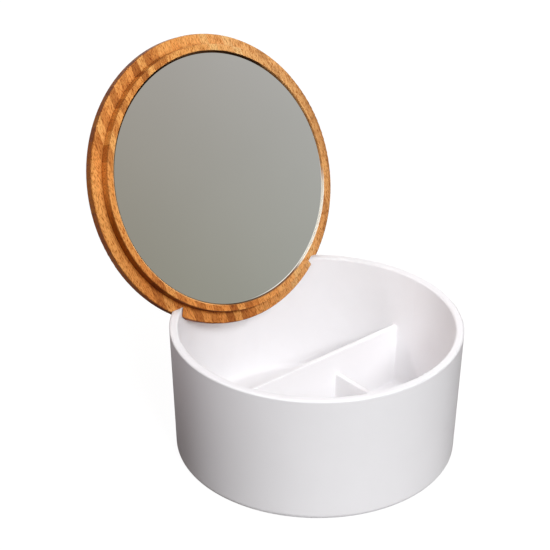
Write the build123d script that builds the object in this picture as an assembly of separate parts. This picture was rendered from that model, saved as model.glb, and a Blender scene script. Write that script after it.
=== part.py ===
from build123d import *
import math
import os

# Round storage box with a wooden mirror lid, in millimetres.
# Origin: centre of the foot, on the surface that the box stands on. +Z is up, +Y is the back, where the lid
# stands in the rim with its mirror facing the front and upwards. X runs along the long divider.

# Box moulding
rim_radius = 85.0
base_inset = 2.9
box_height = 80.0
wall_thickness = 5.0
floor_thickness = 3.0
foot_height = 1.5
foot_width = 6.0
foot_round = 3.4
foot_inner_round = 0.6
rim_round = 1.2
floor_round = 3.0

# Dividers of the moulding: thickness is at the top, places are measured from the box's axis
divider_thickness = 3.0
divider_draft = 0.6
divider_round = 0.7
corner_round = 1.0
long_divider_setback = 14.0
long_divider_top = 43.7
short_divider_offset = 28.4
short_divider_top = 29.3

# Lid board: a flange that covers the rim and a plug that fits inside it
flange_overhang = 1.2
flange_thickness = 7.0
flange_round = 0.9
back_round = 2.0
plug_clearance = 0.8
plug_height = 6.7
plug_round = 0.4
lip_round = 0.4

# Mirror in the plug, held by upright strips of foam tape. It lies low in its play in the recess.
mirror_border = 3.9
mirror_gap = 0.6
lower_gap = 0.2
mirror_inset = 1.2
mirror_thickness = 3.0
mirror_bevel = 0.3
tape_thickness = 0.8
tape_width = 20.0
tape_margin = 12.0
tape_place_shares = (-0.5, 0.0, 0.5)

# Seat of the open lid: it leans back, and two notches in its flange straddle the box wall
lid_lean = 25.0
lid_setback = 63.4
notch_clearance = 0.5
seat_gap = 0.2

cut_overrun = 2.0

# A face is upright where the Z of its normal stays under this share, an edge where its rise is over it
upright_share = 0.5

base_radius = rim_radius - base_inset
wall_taper = base_inset / box_height
floor_top = foot_height + floor_thickness
divider_root = foot_height + floor_thickness / 2
flange_radius = rim_radius + flange_overhang
plug_radius = rim_radius - wall_thickness - plug_clearance
recess_radius = plug_radius - mirror_border
recess_floor = plug_height - mirror_inset - mirror_thickness - tape_thickness
mirror_radius = recess_radius - mirror_gap
mirror_drop = mirror_gap - lower_gap

# The flange's edge meets the outside of the rim where the notches begin, so the setback fixes the height
half_chord = math.sqrt(rim_radius**2 - lid_setback**2)
seat_to_centre = math.sqrt(flange_radius**2 - half_chord**2)
lean = math.radians(lid_lean)
lid_centre = (
    0,
    lid_setback + seat_to_centre * math.sin(lean),
    box_height + seat_to_centre * math.cos(lean),
)
lid_plane = Plane(origin=lid_centre, x_dir=(1, 0, 0), z_dir=(0, -math.cos(lean), math.sin(lean)))
lid_lowest = lid_centre[2] - flange_radius * math.cos(lean) - flange_thickness * math.sin(lean)


def inner_radius(height):
    """Radius of the inside of the tapered wall at a height."""
    return base_radius + wall_taper * height - wall_thickness


def turned(points, rounds=()):
    """Solid of revolution about Z from (radius, height) points, with chosen corners rounded first."""
    profile = make_face(Polyline(*[(radius, 0, height) for radius, height in points], close=True))
    for (radius, height), size in rounds:
        corner = profile.vertices().sort_by_distance((radius, 0, height))[0]
        profile = fillet(corner, size)
    return revolve(profile, Axis.Z)


def bowl():
    """Tapered round wall, floor and foot ring."""
    foot_outer = (base_radius, 0)
    foot_inner = (base_radius - foot_width, 0)
    rim_outer = (rim_radius, box_height)
    rim_inner = (inner_radius(box_height), box_height)
    floor_corner = (inner_radius(floor_top), floor_top)
    points = [
        (0, foot_height),
        (base_radius - foot_width, foot_height),
        foot_inner,
        foot_outer,
        rim_outer,
        rim_inner,
        floor_corner,
        (0, floor_top),
    ]
    rounds = [
        (foot_inner, foot_inner_round),
        (foot_outer, foot_round),
        (rim_outer, rim_round),
        (rim_inner, rim_round),
        (floor_corner, floor_round),
    ]
    return turned(points, rounds)


def divider(length, top):
    """Upright wall along X with draft on its sides and a rounded top, rooted in the floor's thickness."""
    height = top - divider_root
    root_thickness = divider_thickness + 2 * height * math.tan(math.radians(divider_draft))
    wall = extrude(Rectangle(length, root_thickness), height, taper=divider_draft)
    top_edges = wall.edges().group_by(Axis.Z)[-1].filter_by(Axis.X)
    return Pos(0, 0, divider_root) * fillet(top_edges, divider_round)


def dividers():
    """Long divider across the box and a lower one from it to the front, both ending within the wall."""
    reach = 2 * rim_radius
    long_one = Pos(0, long_divider_setback, 0) * divider(reach, long_divider_top)
    short_one = Pos(short_divider_offset, 0, 0) * Rot(0, 0, 90) * divider(reach, short_divider_top)
    behind = Pos(0, long_divider_setback + reach / 2, 0) * Box(reach, reach, reach)
    middle = wall_thickness / 2
    within = turned(
        [
            (0, 0),
            (inner_radius(0) + middle, 0),
            (inner_radius(box_height) + middle, box_height),
            (0, box_height),
        ]
    )
    return (long_one + (short_one - behind)) & within


def compartment_box():
    """One moulding: bowl and dividers, with rounded upright corners where the dividers join."""
    moulding = bowl() + dividers()
    flats = moulding.faces().filter_by(GeomType.PLANE)
    sides = [face for face in flats if abs(face.normal_at().Z) < upright_share]
    edges = {edge for face in sides for edge in face.edges()}
    corners = [edge for edge in edges if abs((edge @ 1 - edge @ 0).Z) > upright_share * edge.length]
    return fillet(corners, corner_round)


def wall_ring():
    """Space that the wall takes in the lid's flange, open downwards so that the lid lifts straight out."""
    top = box_height + seat_gap
    bottom = lid_lowest - cut_overrun
    outside = rim_radius + notch_clearance
    return turned(
        [
            (inner_radius(top) - notch_clearance, top),
            (outside, top),
            (outside, bottom),
            (inner_radius(bottom) - notch_clearance, bottom),
        ]
    )


def lid_board():
    """Round board with flange, plug and mirror recess, notched where it stands in the rim."""
    flange_back = (flange_radius, -flange_thickness)
    flange_front = (flange_radius, 0)
    plug_edge = (plug_radius, plug_height)
    lip_edge = (recess_radius, plug_height)
    points = [
        (0, -flange_thickness),
        flange_back,
        flange_front,
        (plug_radius, 0),
        plug_edge,
        lip_edge,
        (recess_radius, recess_floor),
        (0, recess_floor),
    ]
    rounds = [
        (flange_back, back_round),
        (flange_front, flange_round),
        (plug_edge, plug_round),
        (lip_edge, lip_round),
    ]
    return lid_plane * turned(points, rounds) - wall_ring()


def mirror_glass():
    """Round mirror with a small bevel round its face and back."""
    back = recess_floor + tape_thickness
    face = back + mirror_thickness
    points = [
        (0, back),
        (mirror_radius - mirror_bevel, back),
        (mirror_radius, back + mirror_bevel),
        (mirror_radius, face - mirror_bevel),
        (mirror_radius - mirror_bevel, face),
        (0, face),
    ]
    return lid_plane * Pos(0, -mirror_drop, 0) * turned(points)


def mirror_tape():
    """Strips of tape between the mirror's back and the recess, each as long as its place in the circle."""
    strips = []
    for share in tape_place_shares:
        place = share * mirror_radius
        outer_edge = abs(place) + tape_width / 2
        length = 2 * math.sqrt((mirror_radius - tape_margin) ** 2 - outer_edge**2)
        strip = Box(tape_width, length, tape_thickness, align=(Align.CENTER, Align.CENTER, Align.MIN))
        strips.append(lid_plane * Pos(place, 0, recess_floor) * strip)
    return Compound(strips)


os.makedirs("parts", exist_ok=True)
pieces = {
    "compartment_box": compartment_box(),
    "lid_board": lid_board(),
    "mirror_glass": mirror_glass(),
    "mirror_tape": mirror_tape(),
}
for name, solid in pieces.items():
    export_step(solid, f"parts/{name}.step")
    print(name, len(solid.solids()), "solids, volume", round(solid.volume))
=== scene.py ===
import math

import bpy
from mathutils import Matrix, Vector


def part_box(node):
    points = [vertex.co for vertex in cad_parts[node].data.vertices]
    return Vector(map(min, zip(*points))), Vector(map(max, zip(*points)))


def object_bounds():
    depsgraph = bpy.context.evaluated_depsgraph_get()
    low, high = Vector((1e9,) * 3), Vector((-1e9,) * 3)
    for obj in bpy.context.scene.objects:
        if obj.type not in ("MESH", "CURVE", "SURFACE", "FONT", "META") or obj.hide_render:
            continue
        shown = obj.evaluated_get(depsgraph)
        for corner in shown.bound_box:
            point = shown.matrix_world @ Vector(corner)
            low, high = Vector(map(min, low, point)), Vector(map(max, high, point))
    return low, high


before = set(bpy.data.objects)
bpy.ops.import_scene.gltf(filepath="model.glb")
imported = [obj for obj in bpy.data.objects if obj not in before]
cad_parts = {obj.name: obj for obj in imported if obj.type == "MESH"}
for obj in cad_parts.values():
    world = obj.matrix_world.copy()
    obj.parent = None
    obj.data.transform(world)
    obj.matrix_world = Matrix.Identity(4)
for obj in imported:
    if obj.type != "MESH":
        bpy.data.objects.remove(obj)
cad_low, cad_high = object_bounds()

# Photograph: image side, focal length and place of the rim's centre in pixels, distance in metres, angles
# in degrees, and the camera's sensor in millimetres
image_side = 550
focal_pixels = 1881.9
rim_centre_pixel = (316.6, 322.8)
rim_distance = 1.085
view_azimuth = -40.6
view_elevation = 28.48
view_roll = 0.3
sensor_width = 36.0

# Large soft lamps: angles in degrees as for the view, distance and size in metres, power in watts
key_azimuth = -20.0
key_elevation = 35.0
key_distance = 1.3
key_size = 0.4
key_power = 12.3
key_colour = (0.95, 0.98, 1.0)
top_azimuth = -20.0
top_elevation = 84.0
top_distance = 1.1
top_size = 1.0
top_power = 4.3
top_colour = (0.94, 0.97, 1.0)
back_azimuth = view_azimuth + 180
back_elevation = 10.0
back_distance = 1.3
back_size = 0.6
back_power = 5.0
back_colour = (1.0, 0.97, 0.96)

# Narrow fill lamp, in the same units: the spot that it is aimed at, its radius, and its cone, which fades
# from its middle to its edge
fill_aim = (0.07, -0.04, 0.06)
fill_azimuth = -114.0
fill_elevation = 27.0
fill_distance = 1.3
fill_radius = 0.08
fill_cone = math.radians(6.0)
fill_fade = 1.0
fill_power = 30.0
fill_colour = (1.0, 0.93, 0.97)

# Soft light from all round
ambient_colour = (1.0, 0.84, 0.82)
ambient_strength = 0.22

# Floor: the share of light that it throws back, with a painted pool of brighter bounce on a near patch in
# front of the box, and the glow and shadow that are seen on it. In reflections a patch behind the box is
# dim, a painted shadow. Each patch has its middle, and the distances from there where it is full and where
# it ends, in metres.
floor_size = 12.0
floor_bounce = 0.1
near_bounce = 0.42
near_place = (-0.0465, -0.131, 0.0)
near_reach = (0.06, 0.2)
floor_shadow_share = 0.12
floor_glow = 0.95
dim_place = (0.06, 0.07, 0.0)
dim_reach = (0.13, 0.25)
dim_share = 0.9
white = (1.0, 1.0, 1.0)

# Soft cloud that every finish shares: its detail, and the range of its noise that makes up the shade
cloud_detail = 3.0
cloud_range = (0.25, 0.75)

# White moulded plastic, sizes in metres
plastic_colour = (0.94, 0.928, 0.936)
plastic_cloud_size = 0.03
plastic_cloud_share = 0.01
plastic_grain_size = 0.0007
plastic_grain_detail = 2.0
plastic_grain_depth = 0.00002
plastic_polish_size = 0.015
plastic_roughness = 0.46
plastic_roughness_share = 0.12
plastic_specular = 0.02

# Bamboo board and its glued strips, sizes in metres. Each strip draws its own tone, from light to dark.
lid_lean = math.radians(25.0)
grain_tilt = math.radians(5.7)
strip_width = 0.0052
strip_phase = 0.4
strip_seed = 1405113
strip_tone_share = 0.74
strip_middle = 0.5
joint_share = 0.04
joint_shade_share = 0.2
bamboo_light = (0.9, 0.475, 0.145)
bamboo_middle = (0.84, 0.345, 0.083)
bamboo_dark = (0.44, 0.145, 0.028)
tone_stops = (0.15, 0.5, 0.85)

# Fibres and flecks along the strips, from another place in the noise on each strip, knuckles across them,
# and end grain where the board's edge faces up or down
noise_spread = 50.0
fibre_width = 0.0011
fibre_length = 0.03
fibre_detail = 4.0
fleck_width = 0.0004
fleck_length = 0.0025
fleck_detail = 2.0
fleck_range = (0.46, 0.66)
fleck_tint = (0.5, 0.31, 0.15)
knuckle_spacing = 0.3
knuckle_height = 0.0016
knuckle_shade_share = 0.22
end_grain_range = (0.3, 0.95)
end_grain_share = 0.2

# Turned sides of the board: tints of the flange's edge and of the step from flange to plug, below its
# crest, partly darker side grain and partly painted shade, and a painted shadow on the flange at the
# step's foot.
# Step and corner are lighter on the board's upper part, as painted light. Places are on the board, in
# metres from the middle of the recess.
side_range = (0.2, 0.9)
edge_grain_and_shade_tint = (0.46, 0.3, 0.06)
step_grain_and_shade_tint = (0.38, 0.21, 0.025)
# Painted light: the step's tint is lighter on the board's upper part
upper_step_lit_tint = (0.96, 0.84, 0.62)
upper_step = (-0.008, 0.026)
step_crest = (0.001, 0.0026)
flange_face = -0.0038
flange_face_play = 0.0006
step_radius = 0.0792
# Painted shadow at the step's foot: its reach, its tint, and its share on the board's upper part
corner_shadow_reach = 0.0024
corner_shadow_tint = (0.55, 0.43, 0.28)
upper_corner_shadow_share = 0.45

# Slow changes over the board: paler to the right, and darker to the foot as painted shade, each from a
# place to where it is full, and soft clouds
paler_right = (-0.01, 0.06)
paler_tint = (1.06, 1.36, 2.05)
foot_shade_span = (0.02, -0.06)
foot_shade_tint = (0.85, 0.76, 0.68)
bamboo_cloud_size = 0.05
bamboo_cloud_share = 0.05

# Lacquer on the board, duller along the fibres, and the depth of its relief in metres
bamboo_roughness = 0.5
bamboo_roughness_share = 0.15
fibre_range = (0.3, 0.7)
bamboo_specular = 0.12
bamboo_coat = 0.04
bamboo_coat_roughness = 0.2
relief_depth = 0.00006
fleck_relief = 0.5

# Turned lip round the mirror, with painted light and shade in stretches: painted light on the left, a pale
# painted highlight low on the right, a brown painted shade below it, and a dark painted shadow at the top.
# Each stretch has its angle on the board, the half spans in degrees where it is full and where it ends,
# and its width in metres.
lip_reach = 0.0015
# Pale painted highlight low on the right
pale_lip = (1.0, 0.95, 0.84)
pale_angle = -38.0
pale_spans = (17.0, 28.0)
pale_width = 0.0002
# Brown painted shade below the highlight
brown_lip = (0.3, 0.13, 0.05)
brown_angle = -80.0
brown_spans = (17.0, 28.0)
brown_width = 0.0004
# Dark painted shadow at the top
dark_lip = (0.12, 0.048, 0.014)
dark_angle = 85.0
dark_spans = (34.0, 42.0)
dark_width = 0.0002
# Painted light on the left, lifting the lip's own shade
lit_lip = (0.95, 0.5, 0.2)
lit_lip_angle = 200.0
lit_lip_spans = (40.0, 60.0)
lit_lip_width = 0.0006

# Mirror: its play in the recess and how low it lies there, in metres, its painted grey reflection at the
# middle, what that gains towards the right and upper edges, and the stretch of its rim with a painted pale
# highlight
mirror_play = 0.0006
mirror_drop = 0.0004
reflection_middle = (0.344, 0.337, 0.304)
reflection_rightward = (0.051, 0.058, 0.067)
reflection_upward = (0.037, 0.029, 0.036)
mirror_edge_highlight = (0.95, 0.93, 0.87)
mirror_edge_width = 0.0006
mirror_edge_angle = -46.0
mirror_edge_spans = (24.0, 50.0)
mirror_cloud_size = 0.12
mirror_cloud_share = 0.03
mirror_roughness = 0.03
mirror_roughness_share = 0.3
smudge_size = 0.02

# Foam tape, sizes in metres
foam_colour = (0.72, 0.71, 0.68)
foam_cell_size = 0.0009
foam_cell_depth = 0.0001
foam_cloud_share = 0.08
foam_roughness = 0.9


def view_axes(azimuth, elevation):
    """Right, up and backward unit vectors of a view from these angles in degrees."""
    turn = math.radians(azimuth)
    rise = math.radians(elevation)
    right = Vector((math.cos(turn), math.sin(turn), 0))
    back = Vector((math.sin(turn) * math.cos(rise), -math.cos(turn) * math.cos(rise), math.sin(rise)))
    return right, back.cross(right), back


def add_camera():
    """Camera at the photograph's angle, with the centre of the rim on its pixel."""
    level_right, level_up, back = view_axes(view_azimuth, view_elevation)
    roll = math.radians(view_roll)
    right = level_right * math.cos(roll) + level_up * math.sin(roll)
    up = level_up * math.cos(roll) - level_right * math.sin(roll)
    rim_centre = Vector((0, 0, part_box("compartment_box")[1].z))
    across, down = [(pixel - image_side / 2) / focal_pixels * rim_distance for pixel in rim_centre_pixel]
    place = rim_centre - right * across + up * down + back * rim_distance
    bpy.ops.object.camera_add(location=place)
    camera = bpy.context.object
    camera.name = "photo_camera"
    camera.rotation_euler = Matrix((right, up, back)).transposed().to_euler()
    camera.data.sensor_width = sensor_width
    camera.data.lens = sensor_width * focal_pixels / image_side
    bpy.context.scene.camera = camera


def add_lamp(name, kind, aim, azimuth, elevation, distance, power, colour):
    """Lamp of a kind, aimed at a spot from these angles in degrees."""
    back = view_axes(azimuth, elevation)[2]
    bpy.ops.object.light_add(type=kind, location=aim + back * distance)
    lamp = bpy.context.object
    lamp.name = name
    lamp.rotation_euler = back.to_track_quat("Z", "Y").to_euler()
    lamp.data.energy = power
    lamp.data.color = colour
    return lamp.data


def add_soft_lamp(name, azimuth, elevation, distance, size, power, colour):
    """Large soft lamp aimed at the middle of the object."""
    middle = (cad_low + cad_high) / 2
    lamp = add_lamp(name, "AREA", middle, azimuth, elevation, distance, power, colour)
    lamp.shape = "DISK"
    lamp.size = size


def add_fill_lamp():
    """Narrow soft lamp over the left rim that lifts the inside of the right wall."""
    place = (Vector(fill_aim), fill_azimuth, fill_elevation, fill_distance)
    lamp = add_lamp("fill_lamp", "SPOT", *place, fill_power, fill_colour)
    lamp.spot_size = fill_cone
    lamp.spot_blend = fill_fade
    lamp.shadow_soft_size = fill_radius


def add_node(tree, kind, values=(), **settings):
    """New node with its settings and its inputs: a socket is linked, anything else is a plain value."""
    node = tree.nodes.new("ShaderNode" + kind)
    for name, value in settings.items():
        setattr(node, name, value)
    for name, value in dict(values).items():
        if isinstance(value, bpy.types.NodeSocket):
            tree.links.new(value, node.inputs[name])
        else:
            node.inputs[name].default_value = value
    return node


def math_node(tree, operation, *values):
    """Result of a Math node on sockets or numbers."""
    return add_node(tree, "Math", enumerate(values), operation=operation).outputs[0]


def vector_node(tree, operation, *values):
    """Result of a Vector Math node on sockets or triples, as a vector."""
    return add_node(tree, "VectorMath", enumerate(values), operation=operation).outputs["Vector"]


def measured(tree, operation, *values):
    """Result of a Vector Math node on sockets or triples, as a number."""
    return add_node(tree, "VectorMath", enumerate(values), operation=operation).outputs["Value"]


def ranged(tree, value, low, high, to_low, to_high):
    """Value carried smoothly from one range to another."""
    inputs = {"Value": value, "From Min": low, "From Max": high, "To Min": to_low, "To Max": to_high}
    return add_node(tree, "MapRange", inputs, interpolation_type="SMOOTHSTEP").outputs[0]


def blended(tree, blend, share, colour, other):
    """Two colours blended by a share, each a socket or a triple."""
    mix = add_node(tree, "Mix", data_type="RGBA", blend_type=blend)
    for identifier, value in (("Factor_Float", share), ("A_Color", colour), ("B_Color", other)):
        socket = next(entry for entry in mix.inputs if entry.identifier == identifier)
        if isinstance(value, bpy.types.NodeSocket):
            tree.links.new(value, socket)
        elif isinstance(value, tuple):
            socket.default_value = (*value, 1)
        else:
            socket.default_value = value
    return next(entry for entry in mix.outputs if entry.identifier == "Result_Color")


def shaded(tree, colour, shade):
    """Colour multiplied by a grey shade."""
    grey = add_node(tree, "CombineColor", {"Red": shade, "Green": shade, "Blue": shade}).outputs[0]
    return blended(tree, "MULTIPLY", 1.0, colour, grey)


def white_to_view(tree):
    """Mask of the rays that see the stage as a plain white background."""
    path = add_node(tree, "LightPath").outputs
    seen = math_node(tree, "MAXIMUM", path["Is Camera Ray"], path["Is Glossy Ray"])
    return math_node(tree, "MAXIMUM", seen, path["Is Transmission Ray"])


def light_world():
    """Even soft light from all round, and white behind everything that is seen."""
    world = bpy.data.worlds.new("soft_room")
    world.use_nodes = True
    tree = world.node_tree
    tree.nodes.clear()
    soft = add_node(tree, "Background", {"Color": (*ambient_colour, 1), "Strength": ambient_strength})
    seen = add_node(tree, "Background", {"Color": (*white, 1), "Strength": 1})
    mix = add_node(tree, "MixShader", {0: white_to_view(tree), 1: soft.outputs[0], 2: seen.outputs[0]})
    add_node(tree, "OutputWorld", {"Surface": mix.outputs[0]})
    bpy.context.scene.world = world


def pale_floor():
    """Pale finish, white to the view apart from a light shadow, with a painted pool of bounce in front of
    the box and a painted shadow behind it in reflections.
    """
    material = bpy.data.materials.new("pale_floor")
    material.use_nodes = True
    tree = material.node_tree
    tree.nodes.clear()
    place = add_node(tree, "TexCoord").outputs["Object"]
    # Painted pool of brighter bounce on the floor in front of the box
    away = measured(tree, "DISTANCE", place, near_place)
    painted_bounce_pool = ranged(tree, away, *near_reach, near_bounce, floor_bounce)
    bounce = add_node(tree, "BsdfDiffuse", {"Color": shaded(tree, white, painted_bounce_pool)})
    # Painted shadow behind the box, seen only in reflections
    glossy = add_node(tree, "LightPath").outputs["Is Glossy Ray"]
    beside = measured(tree, "DISTANCE", place, dim_place)
    dim = ranged(tree, beside, *dim_reach, glossy, 0.0)
    strength = math_node(tree, "MULTIPLY_ADD", dim, -floor_glow * dim_share, floor_glow)
    glow = add_node(tree, "Emission", {"Color": (*white, 1), "Strength": strength})
    shadow = add_node(tree, "BsdfDiffuse", {"Color": (floor_shadow_share,) * 3 + (1,)})
    seen = add_node(tree, "AddShader", {0: shadow.outputs[0], 1: glow.outputs[0]})
    mix = add_node(tree, "MixShader", {0: white_to_view(tree), 1: bounce.outputs[0], 2: seen.outputs[0]})
    add_node(tree, "OutputMaterial", {"Surface": mix.outputs[0]})
    return material


def add_floor():
    """Wide floor under the part, as stage."""
    bpy.ops.mesh.primitive_plane_add(size=floor_size, location=(0, 0, cad_low.z))
    floor = bpy.context.object
    floor.name = "floor"
    floor.data.materials.append(pale_floor())


def soft_cloud_group():
    """Shared effect: a soft uneven shade about 1, of a given patch size and share."""
    group = bpy.data.node_groups.new("soft_cloud", "ShaderNodeTree")
    group.interface.new_socket("Place", in_out="INPUT", socket_type="NodeSocketVector")
    group.interface.new_socket("Size", in_out="INPUT", socket_type="NodeSocketFloat")
    group.interface.new_socket("Share", in_out="INPUT", socket_type="NodeSocketFloat")
    group.interface.new_socket("Shade", in_out="OUTPUT", socket_type="NodeSocketFloat")
    given = group.nodes.new("NodeGroupInput").outputs
    scale = math_node(group, "DIVIDE", 1.0, given["Size"])
    noise = {"Vector": given["Place"], "Scale": scale, "Detail": cloud_detail}
    cloud = add_node(group, "TexNoise", noise).outputs["Fac"]
    low = math_node(group, "SUBTRACT", 1.0, given["Share"])
    high = math_node(group, "ADD", 1.0, given["Share"])
    thin, thick = cloud_range
    spread = {"Value": cloud, "From Min": thin, "From Max": thick, "To Min": low, "To Max": high}
    shade = add_node(group, "MapRange", spread).outputs[0]
    result = group.nodes.new("NodeGroupOutput")
    group.links.new(shade, result.inputs["Shade"])
    return group


def cloud_shade(tree, place, size, share):
    """Shade from the shared soft cloud."""
    values = {"Place": place, "Size": size, "Share": share}
    return add_node(tree, "Group", values, node_tree=soft_cloud).outputs["Shade"]


def new_finish(name):
    """Material with its node tree, shader and object coordinates."""
    material = bpy.data.materials.new(name)
    material.use_nodes = True
    tree = material.node_tree
    coordinates = add_node(tree, "TexCoord")
    return material, tree, tree.nodes["Principled BSDF"], coordinates


def add_relief(tree, shader, height, depth):
    """Fine relief on a finish, as a bump of its normal."""
    bump = add_node(tree, "Bump", {"Height": height, "Distance": depth})
    tree.links.new(bump.outputs[0], shader.inputs["Normal"])


def white_plastic():
    """Satin white moulding with a fine spark-eroded grain."""
    material, tree, shader, coordinates = new_finish("white_plastic")
    place = coordinates.outputs["Object"]
    tone = cloud_shade(tree, place, plastic_cloud_size, plastic_cloud_share)
    tree.links.new(shaded(tree, plastic_colour, tone), shader.inputs["Base Color"])
    polish = cloud_shade(tree, place, plastic_polish_size, plastic_roughness_share)
    tree.links.new(math_node(tree, "MULTIPLY", polish, plastic_roughness), shader.inputs["Roughness"])
    shader.inputs["Specular IOR Level"].default_value = plastic_specular
    noise = {"Vector": place, "Scale": 1 / plastic_grain_size, "Detail": plastic_grain_detail}
    grain = add_node(tree, "TexNoise", noise).outputs["Fac"]
    add_relief(tree, shader, grain, plastic_grain_depth)
    return material


def board_place(tree, coordinates):
    """Place on the lid board from the recess's middle, with X across it, Y up it and Z out of its face."""
    low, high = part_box("mirror_glass")
    up = Vector((0, math.sin(lid_lean), math.cos(lid_lean)))
    mapping = add_node(tree, "Mapping", {"Vector": coordinates.outputs["Object"]}, vector_type="TEXTURE")
    mapping.inputs["Location"].default_value = (low + high) / 2 + up * mirror_drop
    mapping.inputs["Rotation"].default_value = (math.pi / 2 - lid_lean, 0, 0)
    return mapping.outputs[0]


def mirror_radius():
    """Radius of the mirror, from its node."""
    low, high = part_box("mirror_glass")
    return (high.x - low.x) / 2


def radius_on_board(tree, place):
    """Distance of a place from the recess's middle, along the board."""
    return measured(tree, "LENGTH", vector_node(tree, "MULTIPLY", place, (1, 1, 0)))


def over_flange(tree, place):
    """Mask of the plug, which stands over the flange's face."""
    height = add_node(tree, "SeparateXYZ", {"Vector": place}).outputs["Z"]
    return math_node(tree, "GREATER_THAN", height, flange_face)


def sector(tree, place, radius, angle, spans):
    """Mask of a stretch of the board's circle about an angle, full and gone at half spans in degrees."""
    turn = math.radians(angle)
    full, gone = [math.cos(math.radians(span)) for span in spans]
    reach = measured(tree, "DOT_PRODUCT", place, (math.cos(turn), math.sin(turn), 0))
    return ranged(tree, math_node(tree, "DIVIDE", reach, radius), gone, full, 0.0, 1.0)


def facing(tree, coordinates, axis):
    """How far the surface faces along an axis, either way."""
    return math_node(tree, "ABSOLUTE", measured(tree, "DOT_PRODUCT", coordinates.outputs["Normal"], axis))


def stretched_noise(tree, place, width, length, offset, detail):
    """Noise drawn out along the strips."""
    spread = vector_node(tree, "MULTIPLY", place, (1 / width, 1 / length, 1 / width))
    moved = vector_node(tree, "ADD", spread, offset)
    return add_node(tree, "TexNoise", {"Vector": moved, "Scale": 1.0, "Detail": detail}).outputs["Fac"]


def bamboo_colour(tree, tone):
    """Colour of bamboo at a tone, from light to dark."""
    ramp = add_node(tree, "ValToRGB", {"Fac": tone})
    stops = ramp.color_ramp.elements
    light_stop, middle_stop, dark_stop = tone_stops
    stops[0].position = light_stop
    stops[0].color = (*bamboo_light, 1)
    stops[1].position = dark_stop
    stops[1].color = (*bamboo_dark, 1)
    stops.new(middle_stop).color = (*bamboo_middle, 1)
    return ramp.outputs["Color"]


def with_turned_sides(tree, coordinates, place, colour):
    """Colour with flange edge and step as side grain and painted shade, and a painted shadow at the step's
    foot.
    """
    radius = radius_on_board(tree, place)
    on_board = add_node(tree, "SeparateXYZ", {"Vector": place}).outputs
    out = (0, -math.cos(lid_lean), math.sin(lid_lean))
    beyond_lip = math_node(tree, "GREATER_THAN", radius, mirror_radius() + mirror_play + lip_reach)
    # Side tints: partly darker side grain, partly painted shade
    side = ranged(tree, facing(tree, coordinates, out), *side_range, beyond_lip, 0.0)
    below_crest = ranged(tree, on_board["Z"], *step_crest, 1.0, 0.0)
    turned_side = math_node(tree, "MULTIPLY", side, below_crest)
    # Painted light: the step's painted shade and the foot's painted shadow lighten up the board
    upper = ranged(tree, on_board["Y"], *upper_step, 0.0, 1.0)
    turned_tint = blended(tree, "MIX", upper, step_grain_and_shade_tint, upper_step_lit_tint)
    side_tint = blended(tree, "MIX", over_flange(tree, place), edge_grain_and_shade_tint, turned_tint)
    colour = blended(tree, "MULTIPLY", turned_side, colour, side_tint)
    # Painted shadow on the flange's face beside the step's foot, weaker up the board
    on_flange = math_node(tree, "COMPARE", on_board["Z"], flange_face, flange_face_play)
    upper_corner_shadow = math_node(tree, "MULTIPLY", on_flange, upper_corner_shadow_share)
    corner_shadow_share = ranged(tree, on_board["Y"], *upper_step, on_flange, upper_corner_shadow)
    corner = ranged(tree, radius, step_radius, step_radius + corner_shadow_reach, corner_shadow_share, 0.0)
    return blended(tree, "MULTIPLY", corner, colour, corner_shadow_tint)


def with_slow_changes(tree, place, colour):
    """Colour that turns paler to the right of the board and darker to its foot with painted shade."""
    on_board = add_node(tree, "SeparateXYZ", {"Vector": place}).outputs
    # Paler to the right; the foot darkens as painted shade
    for direction, span, tint in (("X", paler_right, paler_tint), ("Y", foot_shade_span, foot_shade_tint)):
        share = ranged(tree, on_board[direction], *span, 0.0, 1.0)
        colour = blended(tree, "MULTIPLY", share, colour, tint)
    return colour


def with_lip(tree, place, colour):
    """Colour with the painted light and shade on stretches of the turned lip round the mirror."""
    radius = radius_on_board(tree, place)
    lip_radius = mirror_radius() + mirror_play
    about_lip = math_node(tree, "GREATER_THAN", radius, lip_radius - lip_reach)
    on_lip = math_node(tree, "MULTIPLY", over_flange(tree, place), about_lip)
    # Painted light and shade on stretches of the lip
    for lip_colour, width, angle, spans in (
        (lit_lip, lit_lip_width, lit_lip_angle, lit_lip_spans),
        (brown_lip, brown_width, brown_angle, brown_spans),
        (pale_lip, pale_width, pale_angle, pale_spans),
        (dark_lip, dark_width, dark_angle, dark_spans),
    ):
        within = ranged(tree, radius, lip_radius + width / 2, lip_radius + width, on_lip, 0.0)
        lip = math_node(tree, "MULTIPLY", within, sector(tree, place, radius, angle, spans))
        colour = blended(tree, "MIX", lip, colour, lip_colour)
    return colour


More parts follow.
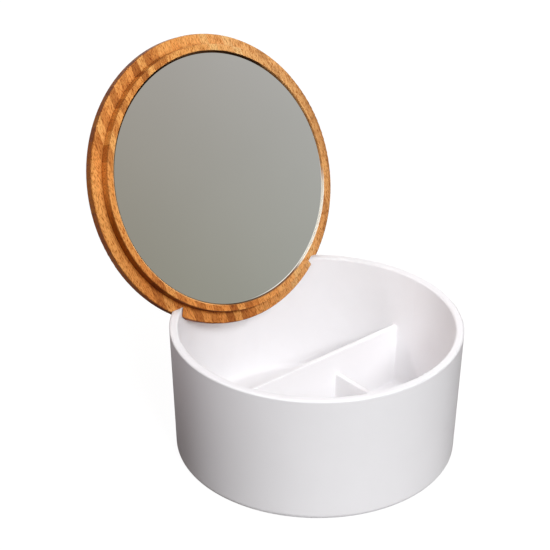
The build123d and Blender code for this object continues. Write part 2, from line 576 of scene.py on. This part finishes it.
def bamboo():
    """Board glued up from upright bamboo strips, each with its own tone, fibres, flecks and knuckle."""
    material, tree, shader, coordinates = new_finish("bamboo")
    place = board_place(tree, coordinates)
    turned = {"Vector": place, "Angle": -grain_tilt}
    grain = add_node(tree, "VectorRotate", turned, rotation_type="Z_AXIS").outputs[0]
    axes = add_node(tree, "SeparateXYZ", {"Vector": grain}).outputs
    strips = math_node(tree, "MULTIPLY_ADD", axes["X"], 1 / strip_width, strip_phase)
    drawn = math_node(tree, "ADD", math_node(tree, "FLOOR", strips), strip_seed)
    chance = add_node(tree, "TexWhiteNoise", {"W": drawn}, noise_dimensions="1D").outputs
    offset = vector_node(tree, "MULTIPLY", chance["Color"], (noise_spread,) * 3)
    fibres = stretched_noise(tree, grain, fibre_width, fibre_length, offset, fibre_detail)
    flecks = stretched_noise(tree, grain, fleck_width, fleck_length, offset, fleck_detail)
    fleck = ranged(tree, flecks, *fleck_range, 0.0, 1.0)

    across = math_node(tree, "FRACT", strips)
    edge = math_node(tree, "ABSOLUTE", math_node(tree, "SUBTRACT", across, strip_middle))
    joint = (strip_middle - joint_share, strip_middle)
    joint_shade = ranged(tree, edge, *joint, 1.0, 1.0 - joint_shade_share)
    second_chance = add_node(tree, "SeparateColor", {"Color": chance["Color"]}).outputs["Green"]
    along = math_node(tree, "MULTIPLY_ADD", second_chance, knuckle_spacing, axes["Y"])
    wave = math_node(tree, "MULTIPLY_ADD", fibres, knuckle_height, along)
    beside = math_node(tree, "PINGPONG", wave, knuckle_spacing / 2)
    knuckle_shade = ranged(tree, beside, 0.0, knuckle_height, 1.0 - knuckle_shade_share, 1.0)
    up = (0, math.sin(lid_lean), math.cos(lid_lean))
    end_shade = ranged(tree, facing(tree, coordinates, up), *end_grain_range, 1.0, 1.0 - end_grain_share)
    drift = cloud_shade(tree, place, bamboo_cloud_size, bamboo_cloud_share)

    own_tone = math_node(tree, "MULTIPLY", chance["Value"], strip_tone_share)
    tone = math_node(tree, "MULTIPLY_ADD", fibres, 1.0 - strip_tone_share, own_tone)
    colour = with_turned_sides(tree, coordinates, place, bamboo_colour(tree, tone))
    colour = with_slow_changes(tree, place, colour)
    colour = blended(tree, "MULTIPLY", fleck, colour, fleck_tint)
    for shade in (joint_shade, knuckle_shade, end_shade, drift):
        colour = shaded(tree, colour, shade)
    tree.links.new(with_lip(tree, place, colour), shader.inputs["Base Color"])

    dullest = bamboo_roughness * (1 + bamboo_roughness_share)
    rough = ranged(tree, fibres, *fibre_range, bamboo_roughness, dullest)
    tree.links.new(rough, shader.inputs["Roughness"])
    shader.inputs["Specular IOR Level"].default_value = bamboo_specular
    shader.inputs["Coat Weight"].default_value = bamboo_coat
    shader.inputs["Coat Roughness"].default_value = bamboo_coat_roughness
    seams = math_node(tree, "MULTIPLY", joint_shade, knuckle_shade)
    add_relief(tree, shader, math_node(tree, "MULTIPLY_ADD", fleck, -fleck_relief, seams), relief_depth)
    return material


def mirror():
    """Silvered glass with a painted grey reflection, brighter towards its upper right, a painted highlight
    on a stretch of its rim, and faint smudges.
    """
    material, tree, shader, coordinates = new_finish("mirror")
    place = board_place(tree, coordinates)
    shares = vector_node(tree, "MULTIPLY", place, (1 / mirror_radius(),) * 3)
    share = add_node(tree, "SeparateXYZ", {"Vector": shares}).outputs
    # Painted grey reflection, brighter to the right and up
    tint = vector_node(tree, "MULTIPLY_ADD", share["X"], reflection_rightward, reflection_middle)
    tint = vector_node(tree, "MULTIPLY_ADD", share["Y"], reflection_upward, tint)
    radius = radius_on_board(tree, place)
    # Painted pale highlight on a stretch of the rim
    inner = mirror_radius() - mirror_edge_width
    edge = ranged(tree, radius, inner, inner + mirror_edge_width / 2, 0.0, 1.0)
    stretch = sector(tree, place, radius, mirror_edge_angle, mirror_edge_spans)
    tint = blended(tree, "MIX", math_node(tree, "MULTIPLY", edge, stretch), tint, mirror_edge_highlight)
    tone = cloud_shade(tree, place, mirror_cloud_size, mirror_cloud_share)
    tree.links.new(shaded(tree, tint, tone), shader.inputs["Base Color"])
    smudge = cloud_shade(tree, place, smudge_size, mirror_roughness_share)
    tree.links.new(math_node(tree, "MULTIPLY", smudge, mirror_roughness), shader.inputs["Roughness"])
    shader.inputs["Metallic"].default_value = 1.0
    return material


def foam_tape():
    """Matt off-white foam with open cells."""
    material, tree, shader, coordinates = new_finish("foam_tape")
    cells = cloud_shade(tree, coordinates.outputs["Object"], foam_cell_size, foam_cloud_share)
    tree.links.new(shaded(tree, foam_colour, cells), shader.inputs["Base Color"])
    shader.inputs["Roughness"].default_value = foam_roughness
    add_relief(tree, shader, cells, foam_cell_depth)
    return material


def finish_piece(name, material):
    """Gives a piece of the frame its finish."""
    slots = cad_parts[name].data.materials
    slots.clear()
    slots.append(material)


bpy.ops.object.select_all(action="DESELECT")
soft_cloud = soft_cloud_group()
finish_piece("compartment_box", white_plastic())
finish_piece("lid_board", bamboo())
finish_piece("mirror_glass", mirror())
finish_piece("mirror_tape", foam_tape())
light_world()
add_floor()
add_soft_lamp("key_lamp", key_azimuth, key_elevation, key_distance, key_size, key_power, key_colour)
add_soft_lamp("top_lamp", top_azimuth, top_elevation, top_distance, top_size, top_power, top_colour)
add_soft_lamp("back_lamp", back_azimuth, back_elevation, back_distance, back_size, back_power, back_colour)
add_fill_lamp()
add_camera()
bpy.context.scene.view_settings.view_transform = "Standard"
